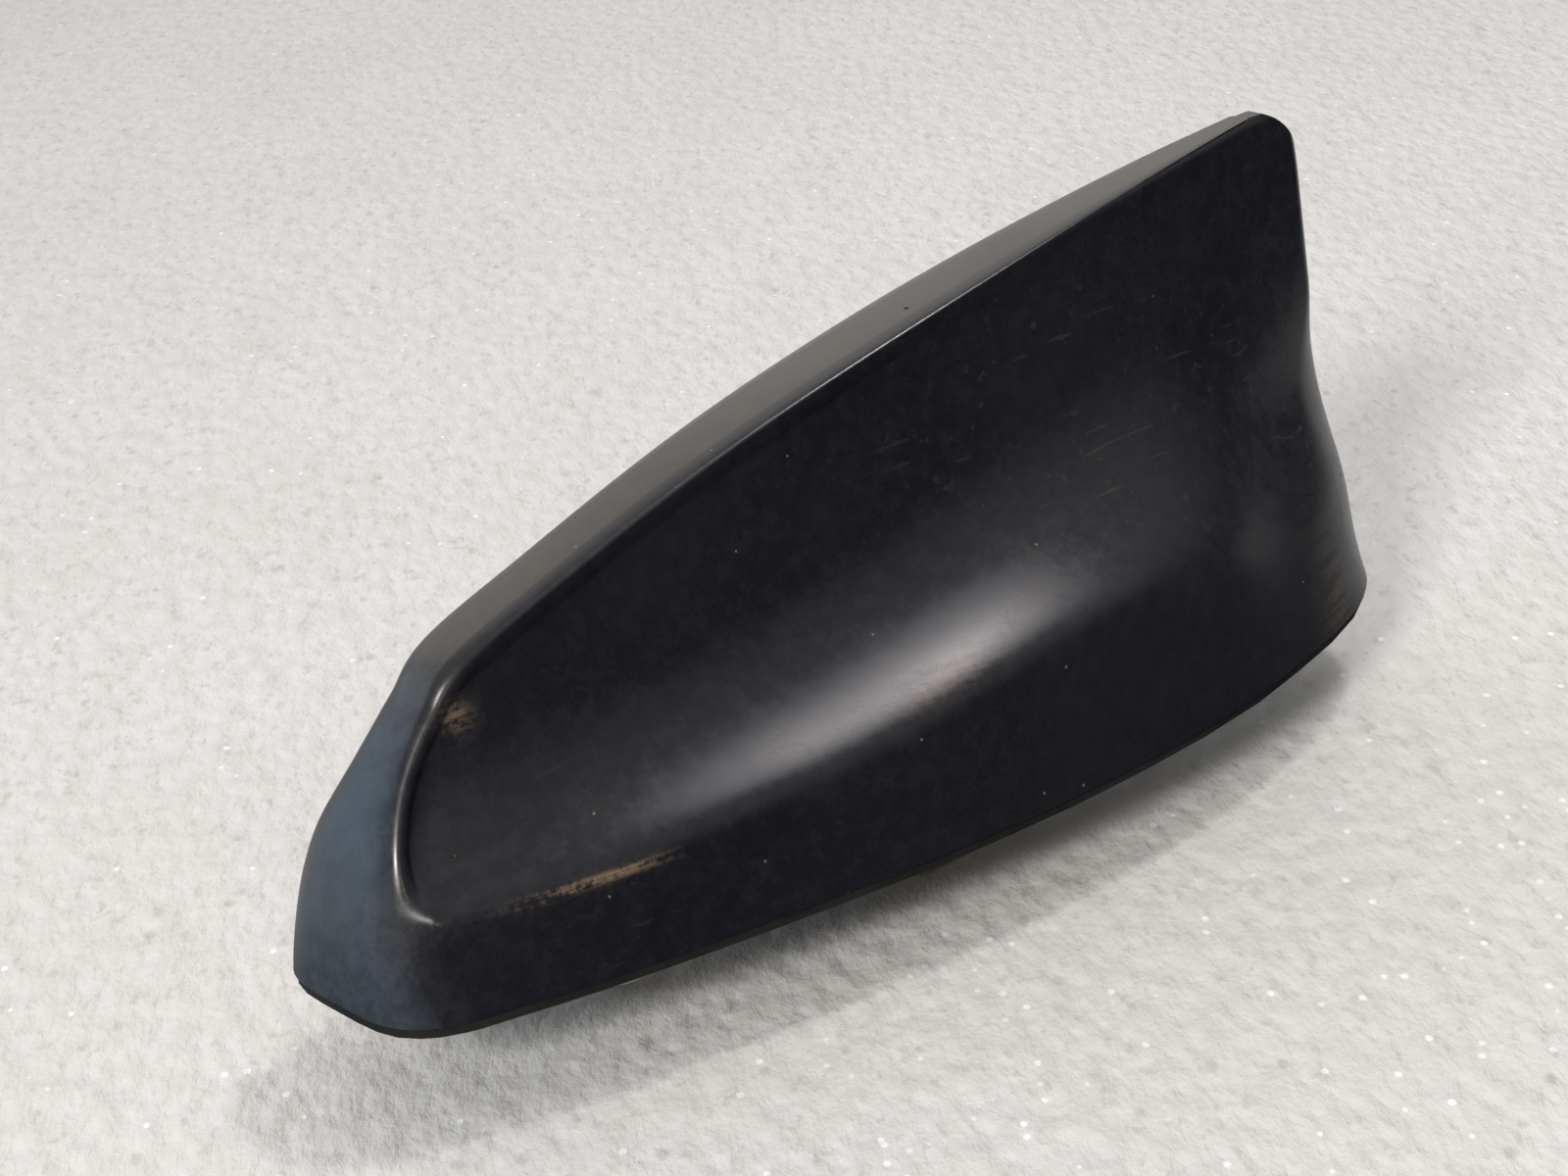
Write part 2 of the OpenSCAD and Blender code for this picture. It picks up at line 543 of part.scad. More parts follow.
// Screws that hold the cover, and screws that hold the board
module screw(len, r, head_r, head_h) {
    difference() {
        union() {
            translate([0, 0, -head_h / 2]) cylinder(h = len + head_h / 2, r = r, $fn = 16);
            translate([0, 0, -head_h]) cylinder(h = head_h, r = head_r, $fn = 24);
        }
        translate([0, 0, -head_h - 1]) cylinder(h = 1.8, r = head_r * 0.5, $fn = 6);
    }
}
module cover_screws() {
    color([0.70, 0.70, 0.72]) for (p = boss_at) translate([p[0], p[1], rim_z + 1.2])
        screw(6, 1.1, 2.8, 1.1);
}
module board_screws() {
    color([0.70, 0.70, 0.72]) for (p = post_at) translate([p[0], p[1], board_z + board_t])
        rotate([180, 0, 0]) screw(5.5, 1, 2.2, 1.3);
}

// Vapour membrane over the base plate's breathing hole
module vent_membrane() {
    color([0.90, 0.90, 0.88]) translate([-30, 0, plate_top]) cylinder(h = 0.4, r = 4, $fn = 32);
}

fin_cover();
rim_gasket();
roof_seal();
base_plate();
foot_collar();
mounting_bolt();
clamp_claw();
locating_peg();
socket_housings();
socket_shells();
socket_insulators();
socket_pins();
main_board();
board_chips();
shield_can();
patch_aerial();
patch_electrode();
patch_pin();
phone_element();
fin_board();
fin_clips();
coil_core();
coil_winding();
cover_screws();
board_screws();
vent_membrane();
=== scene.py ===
import json
import math

import bpy
import numpy as np
from mathutils import Matrix, Vector


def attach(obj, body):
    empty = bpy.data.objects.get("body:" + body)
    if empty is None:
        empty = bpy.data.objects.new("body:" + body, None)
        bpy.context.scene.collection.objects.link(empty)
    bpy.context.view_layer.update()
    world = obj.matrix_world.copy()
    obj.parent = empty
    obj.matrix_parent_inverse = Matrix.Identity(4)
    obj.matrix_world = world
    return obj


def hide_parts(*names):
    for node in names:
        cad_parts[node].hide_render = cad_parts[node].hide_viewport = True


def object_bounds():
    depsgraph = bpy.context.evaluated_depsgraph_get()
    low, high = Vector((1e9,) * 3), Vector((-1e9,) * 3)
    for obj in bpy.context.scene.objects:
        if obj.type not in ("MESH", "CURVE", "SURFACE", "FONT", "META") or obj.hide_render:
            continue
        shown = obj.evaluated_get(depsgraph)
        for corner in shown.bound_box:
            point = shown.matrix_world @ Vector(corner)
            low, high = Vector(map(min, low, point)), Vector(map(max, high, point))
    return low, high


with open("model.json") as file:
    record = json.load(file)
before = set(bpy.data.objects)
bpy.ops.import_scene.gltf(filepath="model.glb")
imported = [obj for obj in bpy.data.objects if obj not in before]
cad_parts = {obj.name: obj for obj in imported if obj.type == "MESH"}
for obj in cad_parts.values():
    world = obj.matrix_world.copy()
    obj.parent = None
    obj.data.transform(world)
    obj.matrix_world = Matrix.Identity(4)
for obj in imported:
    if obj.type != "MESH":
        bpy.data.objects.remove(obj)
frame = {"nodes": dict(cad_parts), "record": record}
cad_low, cad_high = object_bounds()
scene = bpy.context.scene

# Camera, found by fitting the fin's form to the photograph (1600 by 1200 pixels)
PHOTO_W, FOCAL_PX, SENSOR_MM = 1600.0, 3600.0, 36.0
CAM_AT = Vector((-0.246473, -0.276804, 0.174073))
CAM_RIGHT = Vector((0.741273, -0.666505, -0.079275))
CAM_UP = Vector((0.308721, 0.23369, 0.921998))
CAM_BACK = -Vector((0.595991, 0.707926, -0.378993))
cam_data = bpy.data.cameras.new("photo_camera")
cam_data.sensor_fit = "HORIZONTAL"
cam_data.sensor_width = SENSOR_MM
cam_data.lens = FOCAL_PX / PHOTO_W * SENSOR_MM
cam_data.clip_start = 0.01
cam = bpy.data.objects.new("photo_camera", cam_data)
scene.collection.objects.link(cam)
axes = Matrix((CAM_RIGHT, CAM_UP, CAM_BACK)).transposed().to_4x4()
cam.matrix_world = Matrix.Translation(CAM_AT) @ axes
scene.camera = cam
scene.view_settings.view_transform = "Standard"

# The cover's form, by the formulas of part.scad, at a higher density. Millimetres.
NOSE_TO_BOLT, COVER_H, RIM_Z, WALL = 78.0, 60.0, 1.2, 2.0
NOSE_Z = [0, 0.1, 0.2, 0.3, 0.4, 0.483, 0.55, 0.633, 0.8, 1]
NOSE_X = [0, 0.5, 1.9, 4.3, 8.4, 12.9, 17, 30.5, 65.6, 135]
TAIL_Z = [0, 0.133, 0.267, 0.467, 0.7, 1]
TAIL_X = [156.6, 154.6, 154.2, 153.3, 152, 150.2]
PLAN_X = [0, 8, 20, 40, 65, 90, 115, 135, 158]
PLAN_W = [13.8, 14.7, 17.5, 21.3, 24.8, 25.9, 24, 19.7, 18.4]
RIBBON_Z = [0, 0.167, 0.267, 0.4, 0.6, 0.867, 1]
RIBBON_W = [14, 10.2, 8.1, 4.9, 4.2, 4.6, 3.7]
SHOULDER_X = [0, 50, 100, 130, 158]
SHOULDER_Z = [9.8, 13.8, 19.7, 17, 2]
BASE_LEAN, TAIL_ROUND, TAIL_FADE, NOSE_SQUARE, SQUARE_FADE = 0.1, 28.0, 38.0, 4.4, 24.0
BOW_Z = [0, 0.167, 0.367, 1]
BOW_D = [6.6, 3.1, 1.3, 0.7]
EDGE_ROUND, RECESS_D = 1.4, 1.4
SOFT_X = [0, 100, 130, 158]
SOFT_D = [0.7, 0.9, 5, 9]
FLARE_X = [0, 100, 130, 158]
FLARE_H = [19.5, 19.5, 26, 38]
FLARE_N = [2.4, 2.4, 1.9, 1.5]
FIN_DRAFT, EDGE_T, TIP_R = 0.22, 2.4, 9.0

# Only here: the crease is rounder by SOFTER on the upper fin, from SOFTER_FROM up over SOFTER_OVER
SOFTER, SOFTER_FROM, SOFTER_OVER = 0.8, 24.0, 10.0
# Only here: the strip's wear and painted reflection fade towards its edges, a painted shade of its rounded
# edges, over a share of its width but at most so far
WEAR_AND_SHADE_SHARE, WEAR_AND_SHADE_MOST, WEAR_AND_SHADE_LEAST = 0.6, 5.0, 0.1


def curve(xs, ys, x):
    """A smooth curve through the stations xs, ys, straight on past its ends."""
    xs, ys, x = np.asarray(xs, float), np.asarray(ys, float), np.asarray(x, float)
    h = np.diff(xs)
    s = np.diff(ys) / h
    m = np.empty(len(xs))
    m[1:-1] = (s[:-1] * h[1:] + s[1:] * h[:-1]) / (h[1:] + h[:-1])
    m[0], m[-1] = 2 * s[0] - m[1], 2 * s[-1] - m[-2]
    i = np.clip(np.searchsorted(xs, x, side="right") - 1, 0, len(xs) - 2)
    t = (x - xs[i]) / h[i]
    c = np.clip(t, 0, 1)
    y = (1 + 2 * c) * (1 - c) ** 2 * ys[i] + c * (1 - c) ** 2 * h[i] * m[i]
    y = y + c**2 * (3 - 2 * c) * ys[i + 1] + c**2 * (c - 1) * h[i] * m[i + 1]
    return y + np.minimum(t, 0) * h[i] * m[i] + np.maximum(t - 1, 0) * h[i] * m[i + 1]


def nose_at(z):
    return curve(NOSE_Z, NOSE_X, z / COVER_H)


def tail_at(z):
    return curve(TAIL_Z, TAIL_X, z / COVER_H)


def bow_at(z):
    return np.maximum(curve(BOW_Z, BOW_D, z / COVER_H), BOW_D[-1])


def ribbon_at(z):
    return curve(RIBBON_Z, RIBBON_W, z / COVER_H)


table_z = np.linspace(BOW_Z[1] * COVER_H, COVER_H, 121)
table_x = np.maximum.accumulate(nose_at(table_z) + bow_at(table_z))


def crease_at(x):
    """Height of the crease at x."""
    past = COVER_H + (x - table_x[-1]) * 0.2
    return np.where(x > table_x[-1], past, np.interp(x, table_x, table_z))


def soft(u, d):
    """u where it is above 0 and 0 below, rounded over about d."""
    return (u + np.sqrt(u * u + 4 * d * d)) / 2


def square_at(z):
    """How square the nose's front is in plan, 2 being a plain arc."""
    return 2 + (NOSE_SQUARE - 2) * max(1 - z / SQUARE_FADE, 0)


def side_at(x, z):
    """Half width of the flank: the recessed fin above, flaring out to the skirt below."""
    zk = crease_at(x)
    zs = curve(SHOULDER_X, SHOULDER_Z, x)
    drop = np.maximum(zk - z, 0)
    core = ribbon_at(np.minimum(zk, COVER_H)) + FIN_DRAFT * drop
    core = core - RECESS_D * (1 - np.exp(-drop / 2)) * np.minimum(1, drop / 3)
    out = curve(PLAN_X, PLAN_W, x) - BASE_LEAN * z
    d = np.maximum(curve(SOFT_X, SOFT_D, x), SOFT_D[0])
    rise = np.maximum(soft(z - zs, d) - soft(-zs, d), 0)
    tall = curve(FLARE_X, FLARE_H, x)
    tau = np.minimum(rise / np.minimum(tall, np.maximum(zk - zs, 2)), 1)
    return core + np.maximum(out - core, 0) * (1 - tau) ** curve(FLARE_X, FLARE_N, x)


def capped(x, z, y):
    """Half width y, closed round the tail."""
    thick = EDGE_T + TAIL_FADE * (1 - min(z / TAIL_FADE * 1.2, 1)) ** 2
    radius = 2 + (TAIL_ROUND - 2) * (1 - min(z / TAIL_FADE, 1) ** 2) ** 2
    d = tail_at(z) - x
    u = np.clip(d / radius, 0, 1)
    v = np.clip(d / np.minimum(45, tail_at(z) - nose_at(z)), 0, 1)
    t = y * thick / (y**6 + thick**6) ** (1 / 6)
    return t * np.sqrt(np.maximum(1 - (1 - u) ** 2, 0)) + (y - t) * np.sin(np.pi / 2 * v)


# Points in a half section: over the strip, round the crease, along the flank
ACROSS, EDGE_STEPS, ALONG = 16, 12, 110


def half_section(z):
    """Half section at height z, and for each point how far it is on the ribbon, 1 to 0."""
    u = min(max((z - (COVER_H - TIP_R)) / TIP_R, 0), 0.985)
    k = math.sqrt(1 - u * u)
    q = 0.35 + 0.65 * k
    xf = nose_at(z) + TIP_R * 0.9 * (1 - k)
    xr = tail_at(z) - TIP_R * 0.7 * (1 - k)
    yk = ribbon_at(z) * q
    xk = xf + bow_at(z) * k
    softer = SOFTER * min(max((z - SOFTER_FROM) / SOFTER_OVER, 0), 1)
    r = min(EDGE_ROUND + softer, yk * 0.5, (xr - xk) * 0.2)
    lead = yk - side_at(np.array([xk]), z)[0]
    y = (yk - r) * np.sin(np.pi / 2 * np.arange(ACROSS + 1) / ACROSS)
    front = np.c_[xf + (xk - xf) * (y / yk) ** square_at(z), y]
    x1 = np.array([xk + r])
    e1 = np.c_[x1, capped(x1, z, side_at(x1, z) + lead * math.exp(-r / 4)) * q][0]
    e0, c = front[-1], np.array([xk, yk])
    t = np.linspace(0, 1, EDGE_STEPS + 2)[1:, None]
    edge = (1 - t) ** 2 * e0 + 2 * t * (1 - t) * c + t**2 * e1
    t = (1 - np.cos(np.pi * np.arange(1, ALONG + 1) / ALONG)) / 2
    x = xk + r + (xr - xk - r) * t
    back = np.c_[x, capped(x, z, side_at(x, z) + lead * np.exp(-(x - xk) / 4)) * q]
    # the strip's tone fades to its edges: painted shade of the rounded edges
    on = np.clip((yk - front[:, 1]) / min(yk * WEAR_AND_SHADE_SHARE, WEAR_AND_SHADE_MOST), 0, 1)
    on = WEAR_AND_SHADE_LEAST + (1 - WEAR_AND_SHADE_LEAST) * on * on * (3 - 2 * on)
    on = np.r_[on, np.linspace(WEAR_AND_SHADE_LEAST, 0, len(edge)), np.zeros(len(back))]
    return np.r_[front, edge, back], on


def inner_half(z, count):
    """Half section of the hollow at height z."""
    zo = z + WALL
    xa = nose_at(zo) + WALL + 0.4
    xb = tail_at(zo) - WALL - 0.05 - 12 * min(z / 20, 1)
    x = xa + (xb - xa) * (1 - np.cos(np.pi * np.arange(count) / (count - 1))) / 2
    front = ribbon_at(zo) * (np.maximum(x - xa, 0) / bow_at(zo)) ** (1 / square_at(zo))
    level = capped(x, zo, side_at(x, zo)) - WALL
    back = capped(x + WALL, zo, side_at(x + WALL, zo))
    y = np.maximum(np.minimum(np.minimum(front, level), back), 0.6)
    y[0] = y[-1] = 0
    return np.c_[x, y]


def full_ring(half):
    """The near half, then back along the far half."""
    return np.r_[np.c_[half[:, 0], -half[:, 1]], half[-2:0:-1]]


def rub_and_sheen_at(x, z):
    """How much a bronze mark shows, partly rubbed plastic and partly painted highlight: on the shoulder,
    behind the brow, at the tail's corner, and a painted highlight on the shelf.
    """
    rise = z - curve(SHOULDER_X, SHOULDER_Z, x)
    line = rise + 0.75 + (x - 22) * 0.06
    streak = np.exp(-((line / 0.38) ** 2)) * np.exp(-(((x - 22) / 8.5) ** 4))
    patch = 0.6 * np.exp(-(((x - 16.3) / 1.7) ** 2)) * np.exp(-(((z - 27.6) / 1.6) ** 2))
    tail = 0.22 * np.exp(-(((x - 138) / 4.5) ** 2)) * np.exp(-(((z - 4) / 8) ** 2))
    # painted highlight: a bronze sheen on the shelf
    shelf_highlight = 0.42 * np.exp(-(((rise - 1.4) / 1.0) ** 2)) * np.exp(-(((x - 69.5) / 6) ** 2))
    return np.maximum(np.maximum(streak, patch), np.maximum(tail, shelf_highlight))


LEVELS, INNER_LEVELS, HOLLOW_TOP = 170, 16, 45.0


def at_level(ring, z):
    """The ring's points in the part's frame, in millimetres."""
    return np.c_[ring[:, 0] - NOSE_TO_BOLT, ring[:, 1], np.full(len(ring), RIM_Z + z)]


def cover_mesh():
    """The hollow cover, with the strip's wear and painted reflection, and the bronze rubs and painted
    highlights, as point attributes.
    """
    rings, marks, rubbed_and_sheen = [], [], []
    for i in range(LEVELS + 1):
        t = i / LEVELS
        z = COVER_H * (t + 0.05 * math.sin(2 * math.pi * t))
        half, on = half_section(z)
        ring = full_ring(half)
        rings.append(at_level(ring, z))
        marks.append(np.r_[on, on[-2:0:-1]])
        rubbed_and_sheen.append(rub_and_sheen_at(ring[:, 0], z) * (1 - marks[-1]))
    count, half_count = len(rings[0]), len(half)
    for i in range(INNER_LEVELS + 1):
        z = HOLLOW_TOP * i / INNER_LEVELS
        ring = full_ring(inner_half(z, half_count))
        rings.append(at_level(ring, z))
        marks.append(np.zeros(count))
        rubbed_and_sheen.append(np.zeros(count))
    points = np.concatenate(rings) / 1000.0
    faces = []
    inner = LEVELS + 1

    def band(lower, upper, flip):
        for i in range(count):
            j = (i + 1) % count
            quad = (lower * count + i, lower * count + j, upper * count + j, upper * count + i)
            faces.append(quad[::-1] if flip else quad)

    for k in range(LEVELS):
        band(k, k + 1, True)
    for k in range(INNER_LEVELS):
        band(inner + k, inner + k + 1, False)
    band(0, inner, False)
    faces.append([LEVELS * count + i for i in range(count)])
    faces.append([(inner + INNER_LEVELS) * count + i for i in reversed(range(count))])
    mesh = bpy.data.meshes.new("cover_surface")
    mesh.from_pydata([tuple(p) for p in points], [], faces)
    wear = mesh.attributes.new("ribbon", "FLOAT", "POINT")
    wear.data.foreach_set("value", np.concatenate(marks))
    rub_and_sheen_layer = mesh.attributes.new("rub_and_sheen", "FLOAT", "POINT")
    rub_and_sheen_layer.data.foreach_set("value", np.concatenate(rubbed_and_sheen))
    mesh.polygons.foreach_set("use_smooth", [True] * len(mesh.polygons))
    mesh.set_sharp_from_angle(angle=math.radians(50))
    mesh.validate()
    return mesh


cover = bpy.data.objects.new("cover_surface", cover_mesh())
scene.collection.objects.link(cover)
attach(cover, "root")
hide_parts("fin_cover")


class Nodes:
    """A small helper over one node tree."""

    def __init__(self, tree):
        self.tree = tree

    def add(self, kind, **settings):
        node = self.tree.nodes.new(kind)
        for key, value in settings.items():
            setattr(node, key, value)
        return node

    def link(self, a, b):
        self.tree.links.new(a, b)

    def math(self, how, a, b, clamp=False):
        node = self.add("ShaderNodeMath", operation=how, use_clamp=clamp)
        for i, value in enumerate((a, b)):
            if isinstance(value, (int, float)):
                node.inputs[i].default_value = value
            else:
                self.link(value, node.inputs[i])
        return node.outputs[0]

    def times(self, value, share):
        return self.math("MULTIPLY", value, share)

    def plus(self, a, b, clamp=False):
        return self.math("ADD", a, b, clamp)

    def span(self, value, low, high, to_low=0.0, to_high=1.0):
        """value from low to high, eased to run from to_low to to_high."""
        node = self.add("ShaderNodeMapRange", interpolation_type="SMOOTHSTEP")
        self.link(value, node.inputs[0])
        for i, v in enumerate((low, high, to_low, to_high)):
            node.inputs[i + 1].default_value = v
        return node.outputs[0]

    def mix(self, factor, a, b):
        node = self.add("ShaderNodeMix", data_type="RGBA")
        for socket, value in ((node.inputs[0], factor), (node.inputs[6], a), (node.inputs[7], b)):
            if isinstance(value, (int, float)):
                socket.default_value = value
            elif isinstance(value, tuple):
                socket.default_value = (*value, 1.0)
            else:
                self.link(value, socket)
        return node.outputs[2]

    def coords(self, scale=(1, 1, 1), turn=(0, 0, 0), shift=(0, 0, 0), kind="POINT"):
        tc = self.add("ShaderNodeTexCoord")
        mapping = self.add("ShaderNodeMapping", vector_type=kind)
        mapping.inputs["Scale"].default_value = scale
        mapping.inputs["Rotation"].default_value = turn
        mapping.inputs["Location"].default_value = shift
        self.link(tc.outputs["Object"], mapping.inputs["Vector"])
        return mapping.outputs[0]

    def noise(self, vector, scale, detail=3.0, rough=0.5):
        node = self.add("ShaderNodeTexNoise")
        node.inputs["Scale"].default_value = scale
        node.inputs["Detail"].default_value = detail
        node.inputs["Roughness"].default_value = rough
        self.link(vector, node.inputs["Vector"])
        return node.outputs[0]

    def cells(self, vector, scale, feature="F1"):
        node = self.add("ShaderNodeTexVoronoi", feature=feature)
        node.inputs["Scale"].default_value = scale
        self.link(vector, node.inputs["Vector"])
        return node

    def dots(self, vector, scale, size, channel, share):
        """Dots of a size in some of the cells, those whose random value is in the share."""
        cells = self.cells(vector, scale)
        dot = self.span(cells.outputs["Distance"], *size, 1.0, 0.0)
        parts = self.add("ShaderNodeSeparateColor")
        self.link(cells.outputs["Color"], parts.inputs[0])
        return self.times(dot, self.span(parts.outputs[channel], *share))

    def bump(self, height, strength, distance):
        node = self.add("ShaderNodeBump")
        node.inputs["Strength"].default_value = strength
        node.inputs["Distance"].default_value = distance
        self.link(height, node.inputs["Height"])
        return node.outputs[0]

    def attribute(self, name):
        return self.add("ShaderNodeAttribute", attribute_name=name).outputs["Fac"]

    def parts(self, vector):
        node = self.add("ShaderNodeSeparateXYZ")
        self.link(vector, node.inputs[0])
        return node.outputs

    def swap(self, factor, shader, glow_colour):
        """Puts a glow in place of the shader, by the factor."""
        glow = self.add("ShaderNodeEmission")
        if isinstance(glow_colour, tuple):
            glow.inputs["Color"].default_value = (*glow_colour, 1.0)
        else:
            self.link(glow_colour, glow.inputs["Color"])
        mixer = self.add("ShaderNodeMixShader")
        self.link(factor, mixer.inputs[0])
        self.link(shader.outputs[0], mixer.inputs[1])
        self.link(glow.outputs[0], mixer.inputs[2])
        self.link(mixer.outputs[0], self.tree.nodes["Material Output"].inputs["Surface"])


def start(name):
    """A new material, its node helper and its shader."""
    mat = bpy.data.materials.new(name)
    mat.use_nodes = True
    n = Nodes(mat.node_tree)
    shader = mat.node_tree.nodes["Principled BSDF"]
    return mat, n, shader


def cover_material():
    mat, n, shader = start("satin_black")
    where = n.coords()
    broad = n.noise(where, 28, 3)
    fine = n.noise(where, 420, 4, 0.6)
    grain = n.noise(where, 1300, 3, 0.65)
    mottle = n.plus(n.times(fine, 0.6), n.times(grain, 0.4))
    ribbon = n.attribute("ribbon")
    # long fine scratches, kept to patches
    scratch_a = n.noise(n.coords((60, 900, 900), (0.3, 0.5, 0.2)), 1.0, 2)
    scratch_b = n.noise(n.coords((700, 50, 700), (0.1, 0.9, 0.7)), 1.0, 2)
    lines = n.math("MAXIMUM", n.span(scratch_a, 0.66, 0.70), n.span(scratch_b, 0.67, 0.71))
    lines = n.times(lines, n.span(n.noise(n.coords(shift=(3, 1, 2)), 22, 2), 0.52, 0.64, 0.0, 0.6))
    # dust specks and pits
    speck = n.dots(n.coords(), 330, (0.04, 0.07), 0, (0.86, 0.9))
    hole = n.dots(n.coords(shift=(0.5, 0.2, 0.9)), 150, (0.03, 0.055), 1, (0.55, 0.6))
    # black plastic; the strip lighter, partly wear and partly a painted reflection of the bright
    # surroundings: warm above, a painted bluish reflection on the nose
    plain = n.mix(n.span(broad, 0.35, 0.65), (0.0062, 0.0070, 0.0106), (0.0098, 0.0104, 0.0146))
    plain = n.mix(n.span(mottle, 0.42, 0.62, 0.0, 0.55), plain, (0.0155, 0.0145, 0.0185))
    strip_wear_and_reflection = n.mix(n.span(mottle, 0.4, 0.62), (0.036, 0.033, 0.029), (0.052, 0.047, 0.041))
    nose_wear_and_blue_reflection = n.mix(n.span(mottle, 0.4, 0.62), (0.024, 0.032, 0.042), (0.036, 0.047, 0.060))
    strip_wear_and_reflection = n.mix(n.span(n.parts(where)[2], 0.024, 0.038), nose_wear_and_blue_reflection, strip_wear_and_reflection)
    colour = n.mix(ribbon, plain, strip_wear_and_reflection)
    # bronze mark, partly rubbed plastic and partly painted highlight
    rub_and_sheen_breakup = n.noise(n.coords((90, 260, 1500), (0, math.radians(-7), 0)), 1.0, 3, 0.6)
    rub_and_sheen_breakup = n.plus(n.times(rub_and_sheen_breakup, 0.6), n.times(grain, 0.4))
    rub_and_sheen = n.times(n.attribute("rub_and_sheen"), n.span(rub_and_sheen_breakup, 0.40, 0.58))
    colour = n.mix(n.times(rub_and_sheen, 0.8), colour, (0.27, 0.20, 0.125))
    colour = n.mix(hole, colour, (0.002, 0.002, 0.002))
    colour = n.mix(n.times(lines, 0.22), colour, (0.09, 0.078, 0.068))
    colour = n.mix(n.times(speck, 0.45), colour, (0.26, 0.25, 0.24))
    n.link(colour, shader.inputs["Base Color"])
    rough = n.plus(n.times(broad, 0.6), n.times(mottle, 0.6))
    rough = n.span(rough, 0.42, 0.78, 0.20, 0.35)
    rough = n.plus(rough, n.times(ribbon, 0.10))
    rough = n.plus(rough, n.times(n.plus(lines, speck), 0.2), clamp=True)
    rough = n.plus(rough, n.times(hole, 0.6), clamp=True)
    n.link(rough, shader.inputs["Roughness"])
    height = n.math("SUBTRACT", n.times(fine, 0.08), hole)
    height = n.plus(height, n.times(speck, 0.5))
    height = n.math("SUBTRACT", height, n.times(lines, 0.15))
    n.link(n.bump(height, 0.5, 0.0001), shader.inputs["Normal"])
    return mat


def surface(name, dark, light, rough, metal=0.0, grain=300, bump=0.2, stretch=(1, 1, 1)):
    """A finish with broad and fine variation of its colour, roughness and relief."""
    mat, n, shader = start(name)
    broad = n.noise(n.coords(), grain / 9, 3)
    fine = n.noise(n.coords(stretch), grain, 4, 0.6)
    both = n.plus(n.times(broad, 0.6), n.times(fine, 0.4))
    n.link(n.mix(n.span(both, 0.38, 0.62), dark, light), shader.inputs["Base Color"])
    n.link(n.span(both, 0.3, 0.7, rough - 0.07, rough + 0.08), shader.inputs["Roughness"])
    shader.inputs["Metallic"].default_value = metal
    n.link(n.bump(fine, bump, 0.00005), shader.inputs["Normal"])
    return mat


cover.data.materials.append(cover_material())
# Every other finish: dark and light colour, roughness, metalness, grain and relief
FINISHES = {
    "seal_rubber": ((0.007, 0.007, 0.007), (0.012, 0.012, 0.012), 0.65, dict(grain=900)),
    "foam_rubber": ((0.03, 0.03, 0.033), (0.06, 0.06, 0.065), 0.85, dict(grain=1600, bump=0.6)),
    "cast_base": ((0.42, 0.43, 0.45), (0.58, 0.59, 0.6), 0.45, dict(metal=1.0, grain=1400, bump=0.5)),
    "collar_plastic": ((0.05, 0.05, 0.055), (0.08, 0.08, 0.085), 0.5, dict(grain=700)),
    "plated_steel": ((0.52, 0.52, 0.50), (0.70, 0.69, 0.66), 0.3, dict(metal=1.0, grain=900)),
    "spring_steel": ((0.52, 0.44, 0.24), (0.66, 0.56, 0.34), 0.32, dict(metal=1.0, grain=700)),
    "socket_plastic": ((0.03, 0.05, 0.28), (0.05, 0.08, 0.36), 0.4, dict(grain=700)),
    "contact_metal": ((0.70, 0.52, 0.20), (0.82, 0.64, 0.28), 0.25, dict(metal=1.0, grain=900)),
    "nylon": ((0.66, 0.66, 0.62), (0.76, 0.76, 0.72), 0.35, dict(grain=500)),
    "insulator": ((0.78, 0.78, 0.75), (0.86, 0.86, 0.84), 0.5, dict(grain=600)),
    "board_green": ((0.02, 0.14, 0.06), (0.03, 0.20, 0.09), 0.3, dict(grain=900)),
    "chip_black": ((0.015, 0.015, 0.016), (0.03, 0.03, 0.03), 0.5, dict(grain=1500)),
    "tin_plate": ((0.60, 0.61, 0.62), (0.74, 0.75, 0.76), 0.3, dict(metal=1.0, grain=800, stretch=(1, 8, 1))),
    "ceramic": ((0.56, 0.51, 0.42), (0.66, 0.61, 0.52), 0.55, dict(grain=1200)),
    "silver": ((0.74, 0.74, 0.72), (0.86, 0.86, 0.84), 0.38, dict(metal=1.0, grain=1400)),
    "copper_wire": ((0.55, 0.22, 0.07), (0.70, 0.32, 0.12), 0.25, dict(metal=1.0, grain=900)),
}
finishes = {name: surface(name, *row[:3], **row[3]) for name, row in FINISHES.items()}
for part in frame["record"]["subparts"]:
    node, slot = part["node"], part["material_slot"]
    if slot in finishes:
        obj = frame["nodes"][node]
        obj.data.materials.clear()
        obj.data.materials.append(finishes[slot])

# Floor, just under the lowest piece
FLOOR_GAP, FLOOR_HALF = 0.0002, 3.0
FLOOR_Z = cad_low[2] - FLOOR_GAP
# Low walls far behind the object, which low views see past the floor
WALL_HALF, WALL_HEIGHT, WALL_AWAY = 1.1, 0.75, 2.6


def sheet(name, corners, mat):
    """A flat four-sided piece of the stage."""
    mesh = bpy.data.meshes.new(name)
    mesh.from_pydata(corners, [], [(0, 1, 2, 3)])
    mesh.materials.append(mat)
    obj = bpy.data.objects.new(name, mesh)
    scene.collection.objects.link(obj)
    return obj


